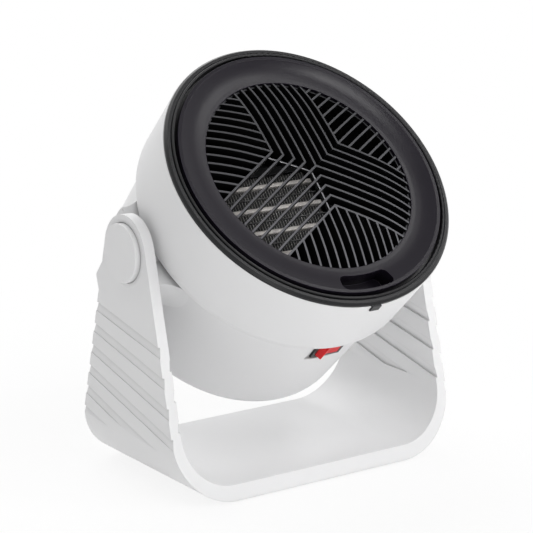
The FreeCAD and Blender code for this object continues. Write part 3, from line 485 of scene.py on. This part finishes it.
@dataclass(frozen=True)
class MouldedPlastic:
    """Moulded plastic with a fine mould grain, faint clouding, softened edges and a painted highlight along
    them.

    Faces that look along the air stream may have a painted highlight, which fades with height, and creases
    may carry painted shade that makes them darker than the rest.
    """

    name: str
    colour: Colour
    roughness: float
    cloud_size: float = 45 * MM
    clouding: float = 0.03
    cloud_swing: float = 0.12
    grain: float = 0.5 * MM
    grain_height: float = 0.01 * MM
    grain_swing: float = 0.1
    edge_radius: float = 0.4 * MM
    edge_highlight: float = 1.0
    edge_share: float = 0.5
    gloss: float = 0.5
    crest_highlight: float = 1.0
    crest_fade: float = 0.45
    crest_span: tuple[float, float] = (130 * MM, 215 * MM)
    crease_shade: float = 0.0
    crease_tint: float = 0.2
    crease_reach: float = 3.0 * MM

    def material(self) -> bpy.types.Material:
        """Make the material.

        Returns:
            A new material.
        """
        shader = Shader(self.name)
        cloud = shader.noise(self.cloud_size, SOFT_DETAIL)
        grain = shader.noise(self.grain, FINE_DETAIL)
        body = shader.blend(cloud, scaled(self.colour, 1.0 - self.clouding),
                            scaled(self.colour, 1.0 + self.clouding))
        # painted highlight: faces that look along the air stream take a lighter colour that fades with height
        if self.crest_highlight != 1.0:
            body = shader.blend(shader.facing(HEAD.forward()), body, self.crest(shader))
        # painted highlight: sharp edges are lightened towards the colour times the edge factor
        rim = shader.edge(self.edge_radius) * self.edge_share
        edge_lit_crease_shaded = shader.blend(rim, body, scaled(self.colour, self.edge_highlight))
        # painted shade: creases are darkened where walls close the surface in
        if self.crease_shade:
            hidden = (1.0 - shader.openness(self.crease_reach)) * self.crease_shade
            edge_lit_crease_shaded = shader.blend(hidden, edge_lit_crease_shaded, scaled(self.colour, self.crease_tint))
        clouds = (cloud - NOISE_MIDDLE) * self.cloud_swing
        rough = clouds + (grain - NOISE_MIDDLE) * self.grain_swing + self.roughness
        normal = shader.bump(grain, self.grain_height, shader.rounded(self.edge_radius))
        return shader.finish(Base_Color=edge_lit_crease_shaded, Roughness=rough, Normal=normal, Specular_IOR_Level=self.gloss)

    def crest(self, shader: Shader) -> bpy.types.NodeSocket:
        """Painted highlight colour of the crests, from the lowest to the highest of them.

        Args:
            shader: the material's shader.

        Returns:
            The colour's socket.
        """
        low = scaled(self.colour, self.crest_highlight)
        return shader.blend(shader.height().smooth_step(*self.crest_span), low,
                            scaled(self.colour, self.crest_highlight * self.crest_fade))


@dataclass(frozen=True)
class PlainMetal:
    """Bare metal with fine lines from rolling or turning, a dull bloom and, where asked for, painted shade
    along the edges.
    """

    name: str
    colour: Colour
    roughness: float
    line: float = 0.3 * MM
    line_height: float = 0.01 * MM
    stretch: Place = (1.0, 0.05, 0.05)
    bloom_size: float = 9 * MM
    bloom: float = 0.15
    swing: float = 0.15
    metallic: float = 1.0
    edge_radius: float = 0.15 * MM
    edge_shade: float = 0.0

    def material(self) -> bpy.types.Material:
        """Make the material.

        Returns:
            A new material.
        """
        shader = Shader(self.name)
        lines = shader.noise(self.line, FINE_DETAIL, self.stretch)
        bloom = shader.noise(self.bloom_size, SOFT_DETAIL)
        tint = shader.blend(bloom, scaled(self.colour, 1.0 - self.bloom), self.colour)
        # painted shade: the edges are darkened
        if self.edge_shade:
            rim = scaled(self.colour, 1.0 - self.edge_shade)
            tint = shader.blend(shader.edge(self.edge_radius), tint, rim)
        rough = lines * self.swing + bloom * self.swing + (self.roughness - self.swing)
        normal = shader.bump(lines, self.line_height, shader.rounded(self.edge_radius))
        return shader.finish(Base_Color=tint, Roughness=rough, Normal=normal, Metallic=self.metallic)


Finish = Union[MouldedPlastic, PlainMetal]

# The lightened edges and crests of these finishes are painted highlights, and their darkened creases painted
# shade.
WHITE_SHELL = MouldedPlastic("white_shell", (0.80, 0.80, 0.805), 0.42, grain_height=0.006 * MM,
                             clouding=0.012, edge_radius=0.5 * MM, edge_highlight=1.2, crease_shade=0.6)
BLACK_FACE = MouldedPlastic("black_face", (0.0105, 0.0085, 0.0135), 0.22, grain=0.55 * MM,
                            grain_height=0.012 * MM, clouding=0.06, edge_highlight=10.0, gloss=0.14)
BLACK_RING = MouldedPlastic("black_ring", (0.009, 0.009, 0.010), 0.3, grain_height=0.008 * MM, clouding=0.06,
                            edge_highlight=26.0, gloss=0.24)
BLACK_GRILLE = MouldedPlastic("black_grille", (0.004, 0.004, 0.0043), 0.4, edge_highlight=50.0, gloss=0.08,
                              crest_highlight=38.0)
BLACK_SPINE = MouldedPlastic("black_spine", (0.01, 0.01, 0.0105), 0.3, edge_highlight=60.0, crest_highlight=60.0,
                             crest_fade=0.9)
BLACK_DUCT = MouldedPlastic("black_duct", (0.004, 0.004, 0.0045), 0.6, edge_highlight=60.0, gloss=0.15)
BLACK_FAN = MouldedPlastic("black_fan", (0.006, 0.006, 0.0065), 0.4, edge_highlight=4.0, gloss=0.3)
SWITCH_BLACK = MouldedPlastic("switch_black", (0.012, 0.012, 0.013), 0.3, grain_height=0.003 * MM)
SWITCH_RED = MouldedPlastic("switch_red", (0.68, 0.012, 0.016), 0.35, grain_height=0.003 * MM, clouding=0.05,
                            gloss=0.25)
FOOT_RUBBER = MouldedPlastic("foot_rubber", (0.028, 0.028, 0.028), 0.8, grain_height=0.04 * MM, gloss=0.2)
NYLON = MouldedPlastic("nylon", (0.72, 0.70, 0.62), 0.5)
THERMOSTAT = MouldedPlastic("thermostat_shell", (0.10, 0.06, 0.04), 0.35)
FUSE_CERAMIC = MouldedPlastic("fuse_ceramic", (0.75, 0.74, 0.70), 0.5)
ZINC_STEEL = PlainMetal("zinc_steel", (0.62, 0.62, 0.64), 0.32)
# The folded sheet's dark colour is painted shade, and the light rims of its rising flanks are a painted
# highlight.
HEATER_SHEET = PlainMetal("heater_sheet", (0.10, 0.10, 0.10), 0.5)
SHEET_RIM_HIGHLIGHT = PlainMetal("sheet_rim_painted_highlight", (0.50, 0.49, 0.48), 0.45, metallic=0.1, edge_radius=0.01 * MM)
SPACER_PLATE = PlainMetal("spacer_plate", (0.10, 0.10, 0.10), 0.5)
# The heater bars' darkened edges are painted shade.
HEATER_BAR = PlainMetal("heater_bar", (0.92, 0.87, 0.83), 0.45, metallic=0.1, bloom=0.3, edge_radius=1.4 * MM,
                        edge_shade=0.85)
TAB_BRASS = PlainMetal("tab_brass", (0.72, 0.58, 0.30), 0.3)
BUSH_BRONZE = PlainMetal("bush_bronze", (0.50, 0.33, 0.17), 0.4)
CORE_IRON = PlainMetal("core_iron", (0.24, 0.19, 0.16), 0.5)


def dress(finish: Finish, *pieces: bpy.types.Object) -> None:
    """Give pieces a finish.

    Args:
        finish: the finish.
        pieces: CAD nodes or new pieces.
    """
    material = finish.material()
    for piece in pieces:
        piece.data.materials.clear()
        piece.data.materials.append(material)
    LOG.info("%s on %s", finish.name, ", ".join(piece.name for piece in pieces))


def node(name: str) -> bpy.types.Object:
    """The CAD node of that name."""
    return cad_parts[name]


@dataclass
class Stand:
    """White yoke stand on four rubber feet."""

    shell: Finish = WHITE_SHELL
    feet: Finish = FOOT_RUBBER

    def dress(self) -> None:
        """Finish the moulding and the feet."""
        dress(self.shell, node("yoke_stand"))
        dress(self.feet, node("rubber_feet"))


@dataclass
class Housing:
    """White shells of the head, the pivot's caps and its washers, and the bush of the rear wall."""

    shell: Finish = WHITE_SHELL
    washer: Finish = NYLON
    bush: Finish = BLACK_FACE

    def dress(self) -> None:
        """Finish the shells and what is set into them."""
        dress(self.shell, node("front_housing"), node("rear_housing"), node("pivot_caps"))
        dress(self.washer, node("pivot_washers"))
        dress(self.bush, node("cord_inlet"))


@dataclass
class FrontFace:
    """Black ring, dish and domed grille on the mouth of the head, and the three-armed spine of the fins."""

    ring: Finish = BLACK_RING
    dish: Finish = BLACK_FACE
    grille: Finish = BLACK_GRILLE
    spine: Finish = BLACK_SPINE
    spine_angles: tuple[float, ...] = (30.0, 150.0, 270.0)
    spine_length: float = 31.0 * MM
    spine_width: float = 0.9 * MM
    spine_height: float = 1.4 * MM
    spine_top: float = 61.9 * MM
    spine_steps: int = 8
    dome_radius: float = 370.0 * MM

    def build(self) -> bpy.types.Object:
        """Model one bar of the spine and set a copy under each line of chevron points.

        Returns:
            The spine.
        """
        spine = Bench.copy_to(self.spine_bar(), [(0.0, 0.0, 0.0)] * len(self.spine_angles), self.spine_angles)
        return HEAD.take(spine)

    def spine_bar(self) -> bpy.types.Object:
        """Draw a small upright section along the dome's curve.

        Returns:
            A bar from the middle outwards along X.
        """
        bpy.ops.object.select_all(action="DESELECT")
        middle = self.spine_top - self.spine_height / 2
        bpy.ops.mesh.primitive_plane_add(size=1.0, location=(0, 0, middle), rotation=(0, math.radians(90), 0))
        bar = bpy.context.object
        bar.name = "grille_spine"
        bar.scale = (self.spine_height, self.spine_width, 1.0)
        bpy.ops.object.transform_apply(location=True, rotation=True, scale=True)
        bpy.ops.object.mode_set(mode="EDIT")
        bpy.ops.mesh.select_all(action="SELECT")
        bpy.ops.mesh.spin(steps=self.spine_steps, angle=self.spine_length / self.dome_radius,
                          center=(0, 0, self.spine_top - self.dome_radius), axis=(0, -1, 0))
        bpy.ops.mesh.select_all(action="SELECT")
        bpy.ops.mesh.normals_make_consistent(inside=False)
        Bench.done()
        return bar

    def dress(self, spine: bpy.types.Object) -> None:
        """Finish the ring, the dish, the grille and its spine.

        Args:
            spine: the seated spine.
        """
        dress(self.ring, node("bezel_ring"))
        dress(self.dish, node("front_dish"))
        dress(self.grille, node("front_grille"))
        dress(self.spine, spine)


@dataclass
class HeatingBlock:
    """Pale heating bars with finely folded sheet between them, in a dark frame and duct; the sheet's dark
    colour is painted shade.

    Each fold is four columns of sheet: a rising flank, a top, a falling flank and a bottom.
    """

    sheet: Finish = HEATER_SHEET
    rim: Finish = SHEET_RIM_HIGHLIGHT
    plates: Finish = SPACER_PLATE
    bars: Finish = HEATER_BAR
    tabs: Finish = TAB_BRASS
    duct: Finish = BLACK_DUCT
    thermostat: Finish = THERMOSTAT
    fuse: Finish = FUSE_CERAMIC
    bar_pitch: float = 15.99 * MM
    bar_count: int = 4
    layer_height: float = 5.9 * MM
    layer_step: float = 4.55 * MM
    fold_pitch: float = 2.0 * MM
    fold_count: int = 36
    fold_columns: int = 4
    top_ends: tuple[int, int] = (1, 2)
    rising_flank: int = 0
    thickness: float = 0.3 * MM
    front: float = 11.6 * MM
    rear: float = -4.4 * MM

    def build(self) -> bpy.types.Object:
        """Fold one layer of sheet, stand it on both sides of each bar and let it replace the coarse folds.

        Returns:
            The folded sheet of the whole block.
        """
        layer = self.fold_layer()
        middles = [self.bar_pitch * (index - (self.bar_count - 1) / 2) for index in range(self.bar_count)]
        places = [(0.0, middle + side * self.layer_step, 0.0) for middle in middles for side in (-1, 1)]
        return HEAD.take(Bench.copy_to(layer, places), "heater_fins")

    def column_width(self) -> float:
        """Width of one column of a fold, along the bar."""
        return self.fold_pitch / self.fold_columns

    def fold_layer(self) -> bpy.types.Object:
        """Fold a strip of sheet up and down along the bar.

        Returns:
            One layer around the origin.
        """
        bpy.ops.object.select_all(action="DESELECT")
        columns = self.fold_columns * self.fold_count
        bpy.ops.mesh.primitive_grid_add(x_subdivisions=columns, y_subdivisions=1, size=1.0)
        layer = bpy.context.object
        layer.name = "heater_folds"
        layer.scale = (self.fold_count * self.fold_pitch, self.front - self.rear, 1.0)
        bpy.ops.object.transform_apply(location=False, rotation=False, scale=True)
        width = self.column_width()
        rise = self.layer_height - self.thickness
        Bench.pick_points(layer, lambda place: round(place.x / width + columns / 2) % self.fold_columns
                          in self.top_ends)
        bpy.ops.transform.translate(value=(0, 0, rise))
        bpy.ops.mesh.select_all(action="SELECT")
        bpy.ops.transform.translate(value=(0, 0, -rise / 2))
        Bench.done()
        layer.rotation_euler = (math.radians(-90), 0, 0)
        layer.location = (0, 0, (self.front + self.rear) / 2)
        bpy.ops.object.transform_apply(location=True, rotation=True, scale=True)
        Bench.modify(layer, "SOLIDIFY", thickness=self.thickness, offset=0.0, use_even_offset=True)
        return layer

    def paint_lit_rims(self, folds: bpy.types.Object) -> None:
        """Paint a highlight on the sheet's cut front edges, on the rising flank of each fold only.

        Args:
            folds: the seated folds.
        """
        folds.data.materials.append(self.rim.material())
        forward = HEAD.forward()
        width = self.column_width()
        Bench.pick_faces(folds, lambda face: face.normal.dot(forward) > SAME_WAY
                         and math.floor(face.center.x / width) % self.fold_columns == self.rising_flank)
        folds.active_material_index = len(folds.data.materials) - 1
        bpy.ops.object.material_slot_assign()
        Bench.done()

    def dress(self, folds: bpy.types.Object) -> None:
        """Finish the block, its safety devices and the duct round it.

        Args:
            folds: the seated folds.
        """
        dress(self.sheet, folds, node("heater_fins"))
        self.paint_lit_rims(folds)
        dress(self.plates, node("fin_plates"))
        dress(self.bars, node("heater_strips"))
        dress(self.tabs, node("heater_terminals"))
        dress(self.duct, node("outlet_duct"), node("heater_frame"))
        dress(self.thermostat, node("thermal_cutout"))
        dress(self.fuse, node("thermal_fuse"))


@dataclass
class RockerSwitch:
    """Snap-in switch with a red rocker under the drum."""

    case: Finish = SWITCH_BLACK
    rocker: Finish = SWITCH_RED
    blades: Finish = TAB_BRASS

    def dress(self) -> None:
        """Finish the case, the rocker and the blades."""
        dress(self.case, node("switch_body"))
        dress(self.rocker, node("switch_rocker"))
        dress(self.blades, node("switch_terminals"))


@dataclass
class FanUnit:
    """Fan wheel, its shroud and the motor behind them."""

    wheel: Finish = BLACK_FAN
    steel: Finish = ZINC_STEEL
    bushes: Finish = BUSH_BRONZE
    core: Finish = CORE_IRON

    def dress(self) -> None:
        """Finish the wheel, the shroud and the motor."""
        dress(self.wheel, node("fan_shroud"), node("fan_impeller"))
        dress(self.steel, node("fan_shaft"), node("motor_can"), node("motor_end_plate"))
        dress(self.bushes, node("motor_bushes"))
        dress(self.core, node("motor_rotor"), node("motor_stator"))


@dataclass
class Fasteners:
    """Screws and bolts; those of the motor show at the back and have a cross recess."""

    steel: Finish = ZINC_STEEL
    circle: float = 14.0 * MM
    count: int = 3
    first_angle: float = 90.0
    head_radius: float = 3.0 * MM
    head_height: float = 2.15 * MM
    head_rear: float = -70.95 * MM
    head_facets: int = 48
    shank_radius: float = 1.5 * MM
    shank_end: float = -62.9 * MM
    rim_round: float = 0.5 * MM
    rim_steps: int = 4
    cross_length: float = 3.4 * MM
    cross_width: float = 0.75 * MM
    cross_depth: float = 1.2 * MM

    def build(self) -> bpy.types.Object:
        """Model one motor screw and set a copy in each of its holes.

        Returns:
            The three screws.
        """
        screw = self.cut_cross(self.turn_screw())
        angles = [math.radians(self.first_angle + 360 * index / self.count) for index in range(self.count)]
        places = [(self.circle * math.cos(angle), self.circle * math.sin(angle), 0.0) for angle in angles]
        return HEAD.take(Bench.copy_to(screw, places), "motor_screws")

    def turn_screw(self) -> bpy.types.Object:
        """Draw the shank out of a round head.

        Returns:
            A screw whose head faces the rear.
        """
        bpy.ops.object.select_all(action="DESELECT")
        middle = self.head_rear + self.head_height / 2
        bpy.ops.mesh.primitive_cylinder_add(vertices=self.head_facets, radius=self.head_radius,
                                            depth=self.head_height, location=(0, 0, middle))
        screw = bpy.context.object
        screw.name = "motor_screw_heads"
        bpy.ops.object.transform_apply(location=True, rotation=False, scale=False)
        Bench.pick_faces(screw, lambda face: face.normal.z > SAME_WAY)
        bpy.ops.mesh.inset(thickness=self.head_radius - self.shank_radius)
        seat = self.head_rear + self.head_height
        bpy.ops.mesh.extrude_region_move(TRANSFORM_OT_translate={"value": (0, 0, self.shank_end - seat)})
        Bench.pick_faces(screw, lambda face: face.normal.z < -SAME_WAY and face.center.z < middle)
        bpy.ops.mesh.bevel(offset=self.rim_round, segments=self.rim_steps, affect="EDGES")
        Bench.done()
        return screw

    def cut_cross(self, screw: bpy.types.Object) -> bpy.types.Object:
        """Press a cross into the screw's head.

        Args:
            screw: the plain screw.

        Returns:
            The same screw with its recess.
        """
        bars = []
        for size in ((self.cross_length, self.cross_width), (self.cross_width, self.cross_length)):
            bpy.ops.object.select_all(action="DESELECT")
            bpy.ops.mesh.primitive_cube_add(size=1.0, location=(0, 0, self.head_rear))
            bar = bpy.context.object
            bar.scale = (*size, 2 * self.cross_depth)
            bpy.ops.object.transform_apply(location=True, rotation=False, scale=True)
            bars.append(bar)
        for bar in bars:
            Bench.modify(screw, "BOOLEAN", operation="DIFFERENCE", solver="EXACT", object=bar)
            bpy.data.objects.remove(bar)
        return screw

    def dress(self, screws: bpy.types.Object) -> None:
        """Finish all the screws and bolts."""
        dress(self.steel, screws, node("pivot_bolts"), node("shroud_screws"), node("housing_screws"),
              node("motor_screws"))


@dataclass(frozen=True)
class Lamp:
    """A square soft lamp that faces the heater; lengths in metres, power in watts."""

    name: str
    place: Place
    size: float
    power: float
    aim_height: float = 0.12

    def hang(self) -> None:
        """Add the lamp to the scene."""
        data = bpy.data.lights.new(self.name, "AREA")
        data.size = self.size
        data.energy = self.power
        lamp = bpy.data.objects.new(self.name, data)
        bpy.context.scene.collection.objects.link(lamp)
        lamp.location = self.place
        beam = Vector((0, 0, self.aim_height)) - Vector(self.place)
        lamp.rotation_euler = beam.to_track_quat("-Z", "Y").to_euler()


LAMPS = (
    Lamp("front_high", (0.0, -1.414, 1.534), size=0.8, power=7.7),
    Lamp("front_low", (0.966, -1.673, 0.638), size=0.8, power=8.0),
    Lamp("sheen", (0.774, -0.922, 1.717), size=0.25, power=3.4),
    Lamp("sheen_low", (1.159, -0.492, 1.674), size=0.25, power=1.6),
    Lamp("right", (1.673, -0.448, 1.12), size=1.0, power=1.4),
    Lamp("left_high", (-0.707, -0.707, 1.852), size=1.0, power=2.1),
    Lamp("back", (0.0, 1.414, 1.534), size=2.2, power=26.0),
    Lamp("low", (-0.40, -0.69, 0.05), size=0.3, power=0.75),
)


@dataclass
class Studio:
    """Camera, floor and light; angles in degrees, lengths in metres, lens and sensor in millimetres."""

    lamps: tuple[Lamp, ...] = LAMPS
    azimuth: float = 35.188
    elevation: float = 13.823
    roll: float = 0.139
    distance: float = 1.2303
    aim_right: float = -0.0010
    aim_height: float = 0.1212
    lens: float = 136.03
    sensor: float = 36.0
    floor_size: float = 8.0
    floor_grey: float = 0.9
    floor_roughness: float = 0.9
    floor_near: float = 0.12
    floor_far: float = 0.45
    floor_lift: float = 0.85
    floor_glow: float = 0.08
    sky: float = 0.33

    def build(self) -> None:
        """Set up the whole studio."""
        bpy.context.scene.view_settings.view_transform = "Standard"
        self.add_camera()
        self.add_floor()
        self.add_world()
        for lamp in self.lamps:
            lamp.hang()

    def add_camera(self) -> None:
        """Put the camera at the photograph's angle."""
        azimuth = math.radians(self.azimuth)
        elevation = math.radians(self.elevation)
        roll = math.radians(self.roll)
        back = Vector((-math.sin(azimuth) * math.cos(elevation), -math.cos(azimuth) * math.cos(elevation),
                       math.sin(elevation)))
        right = Vector((math.cos(azimuth), -math.sin(azimuth), 0))
        up = back.cross(right)
        across = right * math.cos(roll) + up * math.sin(roll)
        upright = up * math.cos(roll) - right * math.sin(roll)
        place = right * self.aim_right + Vector((0, 0, self.aim_height)) + back * self.distance
        data = bpy.data.cameras.new("camera")
        data.lens = self.lens
        data.sensor_width = self.sensor
        camera = bpy.data.objects.new("camera", data)
        bpy.context.scene.collection.objects.link(camera)
        turn = Matrix((across, upright, back)).transposed()
        camera.matrix_world = Matrix.Translation(place) @ turn.to_4x4()
        bpy.context.scene.camera = camera

    def add_floor(self) -> None:
        """Lay a pale floor that shows white away from the heater and keeps its shadow."""
        bpy.ops.object.select_all(action="DESELECT")
        bpy.ops.mesh.primitive_plane_add(size=self.floor_size)
        floor = bpy.context.object
        floor.name = "floor"
        shader = Shader("floor_white")
        grey = (self.floor_grey, self.floor_grey, self.floor_grey, OPAQUE)
        shader.finish(Base_Color=grey, Roughness=self.floor_roughness, Specular_IOR_Level=0.0,
                      Emission_Color=WHITE, Emission_Strength=self.floor_glow)
        away = shader.node("ShaderNodeVectorMath", {"operation": "LENGTH"}, {0: shader.point()})
        far = Value(shader, away.outputs["Value"]).smooth_step(self.floor_near, self.floor_far)
        share = shader.when_seen(0.0) * (far * (1.0 - self.floor_lift) + self.floor_lift)
        white = shader.node("ShaderNodeEmission", None, {"Color": WHITE, "Strength": 1.0})
        mixed = shader.node("ShaderNodeMixShader", None, {
            0: share, 1: shader.surface.outputs["BSDF"], 2: white.outputs["Emission"]})
        shader.feed(shader.tree.nodes["Material Output"].inputs["Surface"], mixed.outputs["Shader"])
        floor.data.materials.append(shader.material)

    def add_world(self) -> None:
        """Even light from all round, seen as white."""
        world = bpy.data.worlds.new("world")
        world.use_nodes = True
        bpy.context.scene.world = world
        nodes = Nodes(world.node_tree)
        background = nodes.tree.nodes["Background"].inputs
        nodes.feed(background["Color"], WHITE)
        nodes.feed(background["Strength"], nodes.when_seen(self.sky))


def main() -> None:
    """Build the heater's looks sub-assembly by sub-assembly."""
    logging.basicConfig(level=logging.INFO, format="%(name)s: %(message)s")
    Studio().build()
    Stand().dress()
    Housing().dress()
    face = FrontFace()
    face.dress(face.build())
    block = HeatingBlock()
    block.dress(block.build())
    RockerSwitch().dress()
    FanUnit().dress()
    fasteners = Fasteners()
    fasteners.dress(fasteners.build())


if __name__ == "__main__":
    main()
